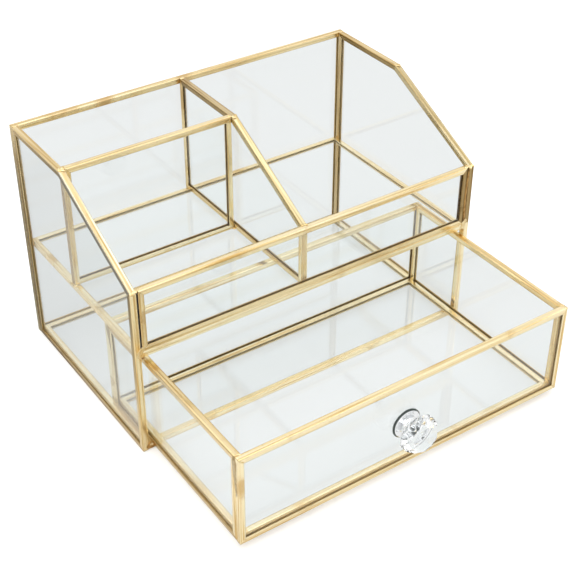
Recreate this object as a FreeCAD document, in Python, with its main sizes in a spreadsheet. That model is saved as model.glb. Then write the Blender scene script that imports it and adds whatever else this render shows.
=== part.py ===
import FreeCAD, Part
import Sketcher
import math
import os
import re

# A jewelry box of clear glass panels. Every panel is edged with brass strip that is folded to a U, pushed over
# the glass edge and mitred at the corners. The edged panels stand against each other: a case with an open tray
# on top, two dividers in the tray, and a drawer below that slides out forwards by its crystal knob.
# Frame: X to the right, Y to the back, Z up, origin in the middle of the case's front bottom edge.

# Driving sizes in millimetres
SIZES = {
    # Case and tray
    "case_width": 260.0,
    "case_depth": 153.6,
    "top_depth": 70.6,
    "floor_height": 78.0,
    "tray_front_height": 44.2,
    "tray_front_gap": 1.0,
    "slope_rise": 41.0,
    "divider_offset": -5.6,
    # Glass and folded strip
    "glass_thickness": 3.0,
    "glass_clearance": 0.15,
    "strip_thickness": 0.55,
    "leg_length": 3.7,
    "mitre_gap": 0.1,
    # Drawer, shown pulled out by drawer_opening. Its front stands proud of the case when it is closed.
    "drawer_opening": 103.6,
    "drawer_proud": 3.6,
    "drawer_side_gap": 1.9,
    "drawer_back_gap": 0.6,
    "drawer_top_gap": 2.8,
    "drawer_lift": 0.3,
    # Knob base
    "knob_offset": -4.5,
    "flange_radius": 10.4,
    "flange_rim": 1.6,
    "flange_chamfer": 1.2,
    "flange_dome": 0.8,
    "neck_wall": 2.8,
    "neck_length": 0.6,
    "cup_flare": 0.8,
    "cup_wall": 1.3,
    "cup_chamfer": 0.4,
    "cup_web": 0.9,
    # Knob crystal
    "spigot_radius": 5.4,
    "spigot_length": 1.6,
    "spigot_clearance": 0.1,
    "spigot_shoulder": 1.2,
    "girdle_radius": 12.8,
    "girdle_height": 1.6,
    "pavilion_height": 5.4,
    "crown_height": 6.0,
    "crown_inset": 4.0,
    "crown_break_height": 2.8,
    "crown_break_inset": 1.3,
    "facet_count": 10.0,
    # Knob screw and washer
    "screw_radius": 2.0,
    "screw_clearance": 0.05,
    "screw_end_gap": 0.4,
    "screw_head_radius": 3.8,
    "screw_head_height": 2.4,
    "screw_head_chamfer": 0.8,
    "recess_reach": 2.1,
    "recess_width": 0.9,
    "recess_depth": 1.2,
    "washer_radius": 5.0,
    "washer_thickness": 0.8,
    "glass_hole_clearance": 0.6,
}

# Sizes that follow from the driving ones
FORMULAS = {
    "came_width": "glass_thickness + 2 * glass_clearance + 2 * strip_thickness",
    "fold_radius": "strip_thickness + glass_clearance",
    "glass_setback": "strip_thickness + glass_clearance",
    "lip_height": "floor_height + tray_front_height",
    "case_height": "lip_height + slope_rise",
    "tray_height": "tray_front_height + slope_rise",
    "inner_width": "case_width - 2 * came_width",
    "inner_depth": "case_depth - came_width",
    "tray_depth": "case_depth - 2 * came_width",
    "slope_start": "case_depth - top_depth",
    "divider_run": "slope_start - came_width",
    "left_bay_width": "inner_width / 2 + divider_offset - came_width / 2",
    "drawer_width": "inner_width - 2 * drawer_side_gap",
    "drawer_depth": "inner_depth - drawer_back_gap + drawer_proud",
    "drawer_inner_width": "drawer_width - 2 * came_width",
    "drawer_inner_depth": "drawer_depth - 2 * came_width",
    "drawer_base": "came_width + drawer_lift",
    "drawer_height": "floor_height - came_width - drawer_top_gap - drawer_base",
    "drawer_front": "-drawer_opening",
    "screw_bore_radius": "screw_radius + screw_clearance",
    "glass_hole_radius": "screw_radius + glass_hole_clearance",
    "flange_height": "flange_rim + flange_dome",
    "neck_radius": "screw_bore_radius + neck_wall",
    "neck_top": "flange_height + neck_length",
    "socket_radius": "spigot_radius + spigot_clearance",
    "cup_radius": "socket_radius + cup_wall",
    "cup_floor": "neck_top + cup_flare",
    "cup_top": "cup_floor + spigot_length",
    "bore_end": "cup_floor - cup_web",
    "screw_tip": "bore_end - screw_end_gap",
    "washer_face": "-glass_thickness - washer_thickness",
    "screw_head_face": "washer_face - screw_head_height",
    "pavilion_root": "spigot_radius + spigot_shoulder",
    "girdle_end": "cup_top + pavilion_height + girdle_height",
    "break_radius": "girdle_radius - crown_break_inset",
    "break_level": "girdle_end + crown_break_height",
    "table_level": "girdle_end + crown_height",
    "above_table": "table_level + crown_height",
    "blank_radius": "2 * girdle_radius",
    "beyond_blank": "2 * blank_radius",
}

SIZE_NAME = re.compile(r"[a-z_]+")
ALONG_X = FreeCAD.Vector(1, 0, 0)
ALONG_Y = FreeCAD.Vector(0, 1, 0)
ALONG_Z = FreeCAD.Vector(0, 0, 1)
QUARTER_TURN = 90
HALF_TURN = 180
FULL_TURN = 360
LOW_FOLD = (HALF_TURN, HALF_TURN + QUARTER_TURN)
HIGH_FOLD = (QUARTER_TURN, HALF_TURN)
SQUARE_CORNER = "1"

# Codes by which a sketch knows the points of a line or circle, and its own origin
START_CODE, END_CODE, CENTRE_CODE = 1, 2, 3
ORIGIN_CODES = -1, START_CODE

# Names of a panel's four strips, in the order in which they go round it
FACING_FRONT = ("bottom", "right", "top", "left")
FACING_SIDE = ("bottom", "rear", "top", "front")
LYING_FLAT = ("front", "right", "rear", "left")

doc = FreeCAD.newDocument("jewelry_box")
sheet = doc.addObject("Spreadsheet::Sheet", "sizes")
nodes = []


def fill_sheet():
    """Writes every driving size into a cell of its own, with its name as the alias."""
    for row, (name, size) in enumerate(SIZES.items(), start=1):
        sheet.set(f"A{row}", name)
        sheet.set(f"B{row}", str(size))
        sheet.setAlias(f"B{row}", name)
    doc.recompute()


def bound(formula):
    """Turns a formula of size names into one that refers to the sheet's cells."""
    def refer(match):
        word = match.group()
        if word in FORMULAS:
            return f"({bound(FORMULAS[word])})"
        return f"sizes.{word}" if word in SIZES else word
    return SIZE_NAME.sub(refer, formula)


def value(formula):
    """The present value of a formula of size names."""
    return float(sheet.evalExpression(bound(formula)))


def bind(sketch, kind, anchor, formula):
    """Adds a driving constraint to a sketch and ties it to the sheet."""
    index = sketch.addConstraint(Sketcher.Constraint(kind, *anchor, value(formula)))
    sketch.setExpression(f"Constraints[{index}]", bound(formula))


def bind_point(sketch, geometry, end, across, up):
    """Ties a point of a sketch to two formulas, measured from the sketch's origin."""
    bind(sketch, "DistanceX", (*ORIGIN_CODES, geometry, end), across)
    bind(sketch, "DistanceY", (*ORIGIN_CODES, geometry, end), up)


def join(sketch, earlier, later):
    """Makes the end of one line the start of the next."""
    sketch.addConstraint(Sketcher.Constraint("Coincident", earlier, END_CODE, later, START_CODE))


def new_body(name):
    body = doc.addObject("PartDesign::Body", name)
    body.Label = name
    return body


def origin_feature(body, role):
    """One of the body's own origin planes or axes."""
    return next(item for item in body.Origin.OriginFeatures if item.Role == role)


def new_sketch(body, name, plane):
    """An empty sketch on one of the body's own origin planes."""
    sketch = body.newObject("Sketcher::SketchObject", name)
    sketch.AttachmentSupport = [(origin_feature(body, plane), "")]
    sketch.MapMode = "FlatFace"
    return sketch


def add_line(sketch, start, end):
    return sketch.addGeometry(Part.LineSegment(FreeCAD.Vector(*start), FreeCAD.Vector(*end)), False)


def add_outline(sketch, corners):
    """Draws a closed polygon whose corners are pairs of formulas, each tied to the sheet."""
    spots = [(value(across), value(up)) for across, up in corners]
    lines = [add_line(sketch, spots[index - 1], spot) for index, spot in enumerate(spots)]
    for index, line in enumerate(lines):
        join(sketch, lines[index - 1], line)
    for line, (across, up) in zip(lines, corners):
        bind_point(sketch, line, END_CODE, across, up)


def add_circle(sketch, across, up, radius):
    """Draws a circle whose centre and radius are tied to the sheet."""
    centre = FreeCAD.Vector(value(across), value(up))
    index = sketch.addGeometry(Part.Circle(centre, ALONG_Z, value(radius)), False)
    bind_point(sketch, index, CENTRE_CODE, across, up)
    bind(sketch, "Radius", (index,), radius)


def pad(body, sketch, length):
    feature = body.newObject("PartDesign::Pad", f"{body.Name}_pad")
    feature.Profile = sketch
    feature.setExpression("Length", bound(length))


def cut_through(body, sketch):
    """Cuts a sketch right through the body, to both sides of the sketch."""
    feature = body.newObject("PartDesign::Pocket", f"{body.Name}_cut")
    feature.Profile = sketch
    feature.Type = "ThroughAll"
    feature.SideType = "Symmetric"
    return feature


def place(body, base, rotation):
    """Sets a body's rotation and ties its position to the sheet."""
    body.Placement = FreeCAD.Placement(FreeCAD.Vector(), rotation)
    for axis, formula in zip("xyz", base):
        body.setExpression(f"Placement.Base.{axis}", bound(formula))


def shifted(base, along, distance):
    """A position of three formulas, moved by a formula along a unit vector that lies on an axis."""
    return tuple(f"{formula} + {round(share)} * ({distance})" for formula, share in zip(base, along))


class Panel:
    """A flat panel: its corner in the world, and the directions along, up and through it."""

    def __init__(self, name, corner, along, up):
        self.name = name
        self.corner = corner
        self.along = along
        self.up = up
        self.through = along.cross(up)

    def point(self, across, height, depth="0"):
        base = shifted(self.corner, self.along, across)
        base = shifted(base, self.up, height)
        return shifted(base, self.through, depth)

    def turned(self, along):
        """The rotation of a piece whose X axis lies along the given direction in the panel."""
        inward = self.through.cross(along)
        return FreeCAD.Rotation(along, inward, self.through, "XYZ")


def standing_across(name, left, rear, bottom):
    """A panel that faces the front, given by its left, rear and bottom limits."""
    return Panel(name, (left, rear, bottom), ALONG_X, ALONG_Z)


def standing_along(name, left, front, bottom):
    """A panel that faces sideways, given by its left, front and bottom limits."""
    return Panel(name, (left, front, bottom), ALONG_Y, ALONG_Z)


def lying(name, left, front, bottom):
    """A panel that lies flat, given by its left, front and bottom limits."""
    return Panel(name, (left, front, bottom), ALONG_X, ALONG_Y)


def add_fold(sketch, centre, span, before, after):
    """Draws one rounded fold of the strip, tangent to the lines that it joins, each a line and its end."""
    circle = Part.Circle(FreeCAD.Vector(*centre), ALONG_Z, value("fold_radius"))
    start, end = (math.radians(angle) for angle in span)
    arc = sketch.addGeometry(Part.ArcOfCircle(circle, start, end), False)
    sketch.addConstraint(Sketcher.Constraint("Tangent", arc, START_CODE, *before))
    sketch.addConstraint(Sketcher.Constraint("Tangent", arc, END_CODE, *after))
    bind(sketch, "Radius", (arc,), "fold_radius")


def draw_came_section(body):
    """The folded U, open towards the panel: web at the outer edge, two legs over the glass faces."""
    sketch = new_sketch(body, f"{body.Name}_section", "YZ_Plane")
    leg = value("leg_length")
    width = value("came_width")
    wall = value("strip_thickness")
    fold = value("fold_radius")
    low_out = add_line(sketch, (leg, 0), (fold, 0))
    web_out = add_line(sketch, (0, fold), (0, width - fold))
    high_out = add_line(sketch, (fold, width), (leg, width))
    high_tip = add_line(sketch, (leg, width), (leg, width - wall))
    high_in = add_line(sketch, (leg, width - wall), (wall, width - wall))
    web_in = add_line(sketch, (wall, width - wall), (wall, wall))
    low_in = add_line(sketch, (wall, wall), (leg, wall))
    low_tip = add_line(sketch, (leg, wall), (leg, 0))
    add_fold(sketch, (fold, fold), LOW_FOLD, (web_out, START_CODE), (low_out, END_CODE))
    add_fold(sketch, (fold, width - fold), HIGH_FOLD, (high_out, START_CODE), (web_out, END_CODE))
    inner_run = (high_out, high_tip, high_in, web_in, low_in, low_tip, low_out)
    for earlier, later in zip(inner_run, inner_run[1:]):
        join(sketch, earlier, later)
    for line in (low_out, high_out, high_in, low_in):
        sketch.addConstraint(Sketcher.Constraint("Horizontal", line))
    for line in (web_out, web_in, high_tip, low_tip):
        sketch.addConstraint(Sketcher.Constraint("Vertical", line))
    bind_point(sketch, low_out, START_CODE, "leg_length", "0")
    bind_point(sketch, high_out, END_CODE, "leg_length", "came_width")
    bind(sketch, "DistanceX", (*ORIGIN_CODES, web_out, START_CODE), "0")
    bind(sketch, "DistanceX", (web_out, START_CODE, web_in, START_CODE), "strip_thickness")
    for tip in (low_tip, high_tip):
        bind(sketch, "DistanceY", (tip, END_CODE, tip, START_CODE), "strip_thickness")
    return sketch


def mitre_corners(corner, outward, slant):
    """A triangle that cuts a strip off at a corner, along a line that leans back by slant for each unit inward
    and leaves half of the gap that the solder fills."""
    across, up = corner
    outside = f"{across} + {outward} * (({slant}) * leg_length - mitre_gap / 2)"
    inside = f"{across} - {outward} * (({slant}) * 2 * leg_length + mitre_gap / 2)"
    return [
        (outside, f"{up} - leg_length"),
        (inside, f"{up} + 2 * leg_length"),
        (outside, f"{up} + 2 * leg_length"),
    ]


def cut_mitres(body, end, start_slant, end_slant):
    """Cuts both ends of a strip that starts at the origin, so that it meets its neighbours corner to corner."""
    sketch = new_sketch(body, f"{body.Name}_mitres", "XY_Plane")
    add_outline(sketch, mitre_corners(("0", "0"), -1, start_slant))
    add_outline(sketch, mitre_corners(end, 1, end_slant))
    cut_through(body, sketch)


def straight_strip(name, length, start_slant=SQUARE_CORNER, end_slant=SQUARE_CORNER):
    """A folded strip along X with both ends mitred, its outer face on Y = 0 and its legs towards +Y."""
    body = new_body(name)
    pad(body, draw_came_section(body), length)
    cut_mitres(body, (length, "0"), start_slant, end_slant)
    return body


def bent_strip(name, flat, run, rise, end_slant):
    """One strip for the flat top and the slope: the web is bent, the legs are notched and meet in a mitre."""
    body = new_body(name)
    section = draw_came_section(body)
    path = new_sketch(body, f"{name}_path", "XY_Plane")
    start = ("0", "0")
    bend = (flat, "0")
    tip = (f"{flat} + {run}", rise)
    start_spot, bend_spot, tip_spot = ((value(across), value(up)) for across, up in (start, bend, tip))
    top = add_line(path, start_spot, bend_spot)
    slope = add_line(path, bend_spot, tip_spot)
    join(path, top, slope)
    bind_point(path, top, START_CODE, *start)
    bind_point(path, slope, START_CODE, *bend)
    bind_point(path, slope, END_CODE, *tip)
    sweep = body.newObject("PartDesign::AdditivePipe", f"{name}_sweep")
    sweep.Profile = section
    sweep.Spine = (path, ["Edge1", "Edge2"])
    sweep.Transition = "Right corner"
    cut_mitres(body, tip, SQUARE_CORNER, f"1 / ({end_slant})")
    return body


def glass_sheet(panel, corners, hole=None):
    """The panel's glass: the outline padded to the glass thickness, with the knob's hole if it has one."""
    body = new_body(f"{panel.name}_glass")
    sketch = new_sketch(body, f"{body.Name}_outline", "XY_Plane")
    add_outline(sketch, corners)
    pad(body, sketch, "glass_thickness")
    if hole:
        drilling = new_sketch(body, f"{body.Name}_hole", "XY_Plane")
        add_circle(drilling, *hole)
        cut_through(body, drilling)
    place(body, panel.point("0", "0", "glass_setback"), panel.turned(panel.along))
    nodes.append(body)


def group_strips(panel, strips):
    """The strips of one panel as separate solids that share a node."""
    group = doc.addObject("Part::Compound", f"{panel.name}_strips")
    group.Label = group.Name
    group.Links = strips
    return group


def rectangular_panel(panel, length, height, edges, hole=None, grouped=False):
    """Glass with four mitred strips, which are nodes of their own or share one."""
    low = "strip_thickness"
    far = f"{length} - strip_thickness"
    high = f"{height} - strip_thickness"
    glass_sheet(panel, [(low, low), (far, low), (far, high), (low, high)], hole)
    sides = [
        (length, panel.point("0", "0"), panel.along),
        (height, panel.point(length, "0"), panel.up),
        (length, panel.point(length, height), -panel.along),
        (height, panel.point("0", height), -panel.up),
    ]
    strips = []
    for edge, (reach, start, along) in zip(edges, sides):
        strip = straight_strip(f"{panel.name}_{edge}_strip", reach)
        place(strip, start, panel.turned(along))
        strips.append(strip)
    nodes.extend([group_strips(panel, strips)] if grouped else strips)


def sloped_panel(panel, depth, height, lip, run):
    """A side or divider whose top runs flat from the back and then slopes down to the lip at the front."""
    slope = f"sqrt(({run})^2 + slope_rise^2)"
    bend_slant = f"slope_rise / ({slope} + {run})"
    lip_slant = f"{run} / ({slope} + slope_rise)"
    low = "strip_thickness"
    rear = f"{depth} - strip_thickness"
    top = f"{height} - strip_thickness"
    bend = (f"{run} + strip_thickness * {bend_slant}", top)
    front = (low, f"{lip} - strip_thickness * {lip_slant}")
    glass_sheet(panel, [(low, low), (rear, low), (rear, top), bend, front])
    strips = [
        (straight_strip(f"{panel.name}_bottom_strip", depth), panel.point("0", "0"), panel.along),
        (straight_strip(f"{panel.name}_rear_strip", height), panel.point(depth, "0"), panel.up),
        (bent_strip(f"{panel.name}_top_strip", f"{depth} - ({run})", run, "slope_rise", lip_slant),
         panel.point(depth, height), -panel.along),
        (straight_strip(f"{panel.name}_front_strip", lip, lip_slant), panel.point("0", lip), -panel.up),
    ]
    for strip, start, along in strips:
        place(strip, start, panel.turned(along))
        nodes.append(strip)


def build_case():
    """Two sloped sides, the back across their rear edges, and the base and tray floor between them."""
    inside_left = "-inner_width / 2"
    for name, left in (("left_side", "-case_width / 2"), ("right_side", "inner_width / 2")):
        side = standing_along(name, left, "0", "0")
        sloped_panel(side, "inner_depth", "case_height", "lip_height", "slope_start")
    back = standing_across("back", "-case_width / 2", "case_depth", "0")
    rectangular_panel(back, "case_width", "case_height", FACING_FRONT)
    base = lying("base", inside_left, "0", "0")
    rectangular_panel(base, "inner_width", "inner_depth", LYING_FLAT, grouped=True)
    floor = lying("tray_floor", inside_left, "0", "floor_height - came_width")
    rectangular_panel(floor, "inner_width", "inner_depth", LYING_FLAT, grouped=True)


def build_tray():
    """The tray's front, with a slit at each end, and its two dividers, all standing on the tray floor."""
    inside_left = "-inner_width / 2"
    tray_front = standing_across("tray_front", f"{inside_left} + tray_front_gap", "came_width", "floor_height")
    rectangular_panel(tray_front, "inner_width - 2 * tray_front_gap", "tray_front_height", FACING_FRONT)
    centre_left = "divider_offset - came_width / 2"
    centre = standing_along("centre_divider", centre_left, "came_width", "floor_height")
    sloped_panel(centre, "tray_depth", "tray_height", "tray_front_height", "divider_run")
    cross = standing_across("cross_divider", inside_left, "slope_start + came_width", "floor_height")
    rectangular_panel(cross, "left_bay_width", "tray_height", FACING_FRONT)


def build_drawer():
    """Front and back across the full width, sides between them, and the bottom between all four."""
    left = "-drawer_width / 2"
    inside_left = "-drawer_inner_width / 2"
    inside_front = "drawer_front + came_width"
    knob_hole = ("drawer_width / 2 + knob_offset", "drawer_height / 2", "glass_hole_radius")
    front = standing_across("drawer_front", left, inside_front, "drawer_base")
    rectangular_panel(front, "drawer_width", "drawer_height", FACING_FRONT, hole=knob_hole)
    back = standing_across("drawer_back", left, "drawer_front + drawer_depth", "drawer_base")
    rectangular_panel(back, "drawer_width", "drawer_height", FACING_FRONT)
    for name, start in (("drawer_left", left), ("drawer_right", "drawer_inner_width / 2")):
        side = standing_along(name, start, inside_front, "drawer_base")
        rectangular_panel(side, "drawer_inner_depth", "drawer_height", FACING_SIDE)
    bottom = lying("drawer_bottom", inside_left, inside_front, "drawer_base")
    rectangular_panel(bottom, "drawer_inner_width", "drawer_inner_depth", LYING_FLAT, grouped=True)


def turned_piece(name, outline):
    """A piece turned about Z from its half section, given as pairs of radius and level."""
    body = new_body(name)
    sketch = new_sketch(body, f"{name}_section", "XZ_Plane")
    add_outline(sketch, outline)
    turning = body.newObject("PartDesign::Revolution", f"{name}_turn")
    turning.Profile = sketch
    turning.ReferenceAxis = (origin_feature(body, "Z_Axis"), [""])
    turning.Angle = FULL_TURN
    return body


def build_knob_base():
    """Chromed base: a flange that rises to the middle, a waisted neck, and a cup that holds the crystal."""
    return turned_piece("knob_base", [
        ("screw_bore_radius", "0"),
        ("flange_radius", "0"),
        ("flange_radius", "flange_rim - flange_chamfer"),
        ("flange_radius - flange_chamfer", "flange_rim"),
        ("neck_radius", "flange_height"),
        ("neck_radius", "neck_top"),
        ("cup_radius", "cup_floor"),
        ("cup_radius", "cup_top - cup_chamfer"),
        ("cup_radius - cup_chamfer", "cup_top"),
        ("socket_radius", "cup_top"),
        ("socket_radius", "cup_floor"),
        ("0", "cup_floor"),
        ("0", "bore_end"),
        ("screw_bore_radius", "bore_end"),
    ])


def cut_facets(body, name, outline, turn_share):
    """Grinds one flat facet and repeats it round the axis. turn_share starts the ring part of a step round."""
    sketch = new_sketch(body, f"{name}_facet", "XZ_Plane")
    turn = f"{FULL_TURN} * {turn_share} / facet_count"
    sketch.AttachmentOffset = FreeCAD.Placement(FreeCAD.Vector(), FreeCAD.Rotation(ALONG_Y, value(turn)))
    sketch.setExpression("AttachmentOffset.Rotation.Angle", bound(turn))
    add_outline(sketch, outline)
    facet = cut_through(body, sketch)
    ring = body.newObject("PartDesign::PolarPattern", f"{name}_ring")
    ring.Originals = [facet]
    ring.Axis = (origin_feature(body, "Z_Axis"), [""])
    ring.Angle = FULL_TURN
    ring.setExpression("Occurrences", bound("facet_count"))
    body.Tip = ring


def leaning_cut(radius, level, lean):
    """What a crown facet grinds off: all outside a line through one point that leans in as it rises."""
    return [
        (f"{radius} - (above_table - {level}) * ({lean})", "above_table"),
        ("beyond_blank", "above_table"),
        ("beyond_blank", f"{level} - (beyond_blank - {radius}) / ({lean})"),
    ]


def build_crystal():
    """Cut crystal: a spigot in the cup, facets flaring out, a girdle, a crown of two rows and a flat table."""
    body = turned_piece("knob_crystal", [
        ("0", "cup_floor"),
        ("spigot_radius", "cup_floor"),
        ("spigot_radius", "cup_top"),
        ("blank_radius", "cup_top"),
        ("blank_radius", "table_level"),
        ("0", "table_level"),
    ])
    cut_facets(body, "girdle", [
        ("girdle_radius", "cup_floor"),
        ("beyond_blank", "cup_floor"),
        ("beyond_blank", "above_table"),
        ("girdle_radius", "above_table"),
    ], "0")
    flare = "(girdle_radius - pavilion_root) / pavilion_height"
    cut_facets(body, "pavilion", [
        ("pavilion_root", "cup_top"),
        ("beyond_blank", "cup_top"),
        ("beyond_blank", f"cup_top + (beyond_blank - pavilion_root) / ({flare})"),
    ], "0")
    low_lean = "crown_break_inset / crown_break_height"
    cut_facets(body, "low_crown", leaning_cut("girdle_radius", "girdle_end", low_lean), "1 / 2")
    high_lean = "(crown_inset - crown_break_inset) / (crown_height - crown_break_height)"
    cut_facets(body, "high_crown", leaning_cut("break_radius", "break_level", high_lean), "0")
    return body


def cut_cross_recess(body, level):
    """Sinks the cross for the screwdriver into a face that looks down the axis."""
    sketch = new_sketch(body, f"{body.Name}_recess", "XY_Plane")
    sketch.AttachmentOffset = FreeCAD.Placement(ALONG_Z * value(level), FreeCAD.Rotation())
    sketch.setExpression("AttachmentOffset.Base.z", bound(level))
    near = "recess_width / 2"
    far = "recess_reach"
    arm = [(far, f"-({near})"), (far, near), (near, near)]
    corners = []
    for _ in range(FULL_TURN // QUARTER_TURN):
        corners.extend(arm)
        arm = [(f"-({up})", across) for across, up in arm]
    add_outline(sketch, corners)
    recess = body.newObject("PartDesign::Pocket", f"{body.Name}_cross")
    recess.Profile = sketch
    recess.Reversed = True
    recess.setExpression("Length", bound("recess_depth"))


def build_screw():
    """Machine screw from inside the drawer, through the washer and the glass into the knob's base."""
    body = turned_piece("knob_screw", [
        ("0", "screw_head_face"),
        ("screw_head_radius - screw_head_chamfer", "screw_head_face"),
        ("screw_head_radius", "screw_head_face + screw_head_chamfer"),
        ("screw_head_radius", "washer_face"),
        ("screw_radius", "washer_face"),
        ("screw_radius", "screw_tip"),
        ("0", "screw_tip"),
    ])
    cut_cross_recess(body, "screw_head_face")
    return body


def build_washer():
    """Flat washer between the screw head and the inner face of the glass."""
    return turned_piece("knob_washer", [
        ("screw_bore_radius", "washer_face"),
        ("washer_radius", "washer_face"),
        ("washer_radius", "-glass_thickness"),
        ("screw_bore_radius", "-glass_thickness"),
    ])


def build_knob():
    """The knob's pieces share an axis that leaves the drawer front's outer glass face squarely."""
    outwards = FreeCAD.Rotation(ALONG_X, QUARTER_TURN)
    centre = ("knob_offset", "drawer_front + glass_setback", "drawer_base + drawer_height / 2")
    for piece in (build_knob_base(), build_crystal(), build_screw(), build_washer()):
        place(piece, centre, outwards)
        nodes.append(piece)


def check_document():
    """Stops before anything is written if a feature failed or a shape is empty or broken."""
    for item in doc.Objects:
        failed = [state for state in item.State if state in ("Invalid", "Error")]
        if failed:
            raise RuntimeError(f"{item.Name} is {failed}")
    for node in nodes:
        if node.Shape.isNull() or not node.Shape.isValid() or not node.Shape.Solids:
            raise RuntimeError(f"{node.Label} has no sound solid")


def write_parts():
    os.makedirs("parts", exist_ok=True)
    for node in nodes:
        node.Shape.exportStep(os.path.join("parts", f"{node.Label}.step"))


fill_sheet()
build_case()
build_tray()
build_drawer()
build_knob()
doc.recompute()
check_document()
write_parts()
print(f"{len(nodes)} nodes, {sum(len(node.Shape.Solids) for node in nodes)} solids")
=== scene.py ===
import math

import bpy
from mathutils import Matrix, Vector


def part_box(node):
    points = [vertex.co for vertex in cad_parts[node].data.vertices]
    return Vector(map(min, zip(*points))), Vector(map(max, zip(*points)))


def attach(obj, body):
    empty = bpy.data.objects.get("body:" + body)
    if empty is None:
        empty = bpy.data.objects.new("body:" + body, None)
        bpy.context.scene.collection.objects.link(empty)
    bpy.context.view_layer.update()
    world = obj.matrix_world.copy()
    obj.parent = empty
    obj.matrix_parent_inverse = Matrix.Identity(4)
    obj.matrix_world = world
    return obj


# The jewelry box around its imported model, in metres: X to the right, Y to the back, Z up.
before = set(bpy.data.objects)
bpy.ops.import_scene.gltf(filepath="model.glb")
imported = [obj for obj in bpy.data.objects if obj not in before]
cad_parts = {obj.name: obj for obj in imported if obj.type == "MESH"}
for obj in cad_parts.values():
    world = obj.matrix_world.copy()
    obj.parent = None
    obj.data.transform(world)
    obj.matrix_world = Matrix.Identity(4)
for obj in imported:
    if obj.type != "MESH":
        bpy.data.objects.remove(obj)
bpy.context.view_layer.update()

RIGHTWARDS = Vector((1, 0, 0))
BACKWARDS = Vector((0, 1, 0))
UPWARDS = Vector((0, 0, 1))
FORWARDS = -BACKWARDS


def lowest(node):
    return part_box(node)[0]


def highest(node):
    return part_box(node)[1]


# The case, measured on its strips: CAME is a strip's width, and LEG is how far it reaches over the glass
CASE_HALF = highest("right_side_front_strip").x
CASE_DEPTH = highest("back_top_strip").y
TOP = highest("back_top_strip").z
CAME = CASE_DEPTH - lowest("back_top_strip").y
HALF_CAME = CAME / 2
LEG = TOP - lowest("back_top_strip").z
FLOOR_TOP = highest("tray_floor_strips").z
LIP = highest("tray_front_top_strip").z
DIVIDER = (lowest("centre_divider_front_strip").x + highest("centre_divider_front_strip").x) / 2
REAR_SEAM = CASE_DEPTH - CAME

# The slope of the sides and of the divider, which runs down to the front from where the cross divider stands
SLOPE_START = lowest("cross_divider_top_strip").y
SIDE_TILT = math.atan2(TOP - LIP, SLOPE_START)
DIVIDER_TILT = math.atan2(TOP - LIP, SLOPE_START - CAME)

# The slit between the tray's front and the side of the case
SLIT_START = highest("tray_front_right_strip").x
SLIT_END = lowest("right_side_front_strip").x
SLIT_MIDDLE = (SLIT_START + SLIT_END) / 2
SLIT_MARGIN = 0.00005
SLIT_HALF = (SLIT_END - SLIT_START) / 2 + SLIT_MARGIN

# The drawer, measured on its strips
DRAWER_HALF = highest("drawer_right_top_strip").x
DRAWER_FRONT = lowest("drawer_front_top_strip").y
DRAWER_BACK = highest("drawer_back_top_strip").y
DRAWER_LOW = lowest("drawer_front_bottom_strip").z
DRAWER_TOP = highest("drawer_front_top_strip").z

# The knob: its flange lies against the glass, and the crystal's foot lies in its cup
KNOB_MIDDLE = (lowest("knob_base") + highest("knob_base")) / 2
KNOB_RADIUS = (highest("knob_base").x - lowest("knob_base").x) / 2
FLANGE_CONTACT = highest("knob_base").y
CONTACT_REACH = 0.0002
CUP_MARGIN = 0.00005
CRYSTAL_FOOT = lowest("knob_base").y - CUP_MARGIN
RIM_WIDTH = 0.0009
RIM_FADE = 0.00009

# Brass at painted light levels, the same brass painted lighter or darker for groups of strips in place of the
# light that falls on them: pale and gold streaks, deep blotches, and how far the edges are stained and
# painted in shade
MOST_LIT_BRASS = {"pale": (0.99, 0.875, 0.585), "gold": (0.89, 0.67, 0.31), "deep": (0.64, 0.40, 0.13), "stain_and_shade": 0.3}
HALF_LIT_BRASS = {"pale": (0.96, 0.82, 0.52), "gold": (0.80, 0.575, 0.24), "deep": (0.56, 0.34, 0.11), "stain_and_shade": 0.35}
HALF_SHADED_BRASS = {"pale": (0.90, 0.745, 0.45), "gold": (0.70, 0.48, 0.18), "deep": (0.47, 0.28, 0.09), "stain_and_shade": 0.4}
SHADED_BRASS = {"pale": (0.72, 0.585, 0.355), "gold": (0.52, 0.355, 0.14), "deep": (0.36, 0.21, 0.065), "stain_and_shade": 0.4}
DEEPLY_SHADED_BRASS = {"pale": (0.41, 0.295, 0.135), "gold": (0.29, 0.185, 0.062), "deep": (0.17, 0.10, 0.025), "stain_and_shade": 0.5}
# Brass inside the case and under the glass, painted lighter as a lift against its shade
LIFTED_INNER_BRASS = {"pale": (0.98, 0.90, 0.64), "gold": (0.92, 0.74, 0.40), "deep": (0.66, 0.43, 0.15), "stain_and_shade": 0.4}
PAINTED_LIGHT_LEVELS = {"bright": MOST_LIT_BRASS, "half_lit": HALF_LIT_BRASS, "half_shaded": HALF_SHADED_BRASS, "shaded": SHADED_BRASS, "dark": DEEPLY_SHADED_BRASS, "inner": LIFTED_INNER_BRASS}

# Painted light levels of the slopes, whose edges are stained and shaded as the rest of their strip: a creamy
# painted highlight on the left slope, darker on the middle and right ones
LEFT_SLOPE_LIGHTING = {"pale": (0.82, 0.77, 0.62), "gold": (0.58, 0.44, 0.22), "deep": (0.42, 0.28, 0.11)}
MIDDLE_SLOPE_LIGHTING = {"pale": (0.70, 0.60, 0.37), "gold": (0.47, 0.365, 0.165), "deep": (0.34, 0.22, 0.075)}
RIGHT_SLOPE_LIGHTING = {"pale": (0.67, 0.57, 0.36), "gold": (0.48, 0.36, 0.16), "deep": (0.34, 0.23, 0.08)}

# Other colours
# Tarnish, also used for the painted shade along the strips' edges
TARNISH_AND_EDGE_SHADE = (0.30, 0.17, 0.045)
PATINA = (0.74, 0.51, 0.19)
PALE_PATINA = (0.95, 0.74, 0.40)
# Painted shade that darkens the hollows of some strips
PAINTED_HOLLOW_SHADE = (0.25, 0.125, 0.02)
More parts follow.
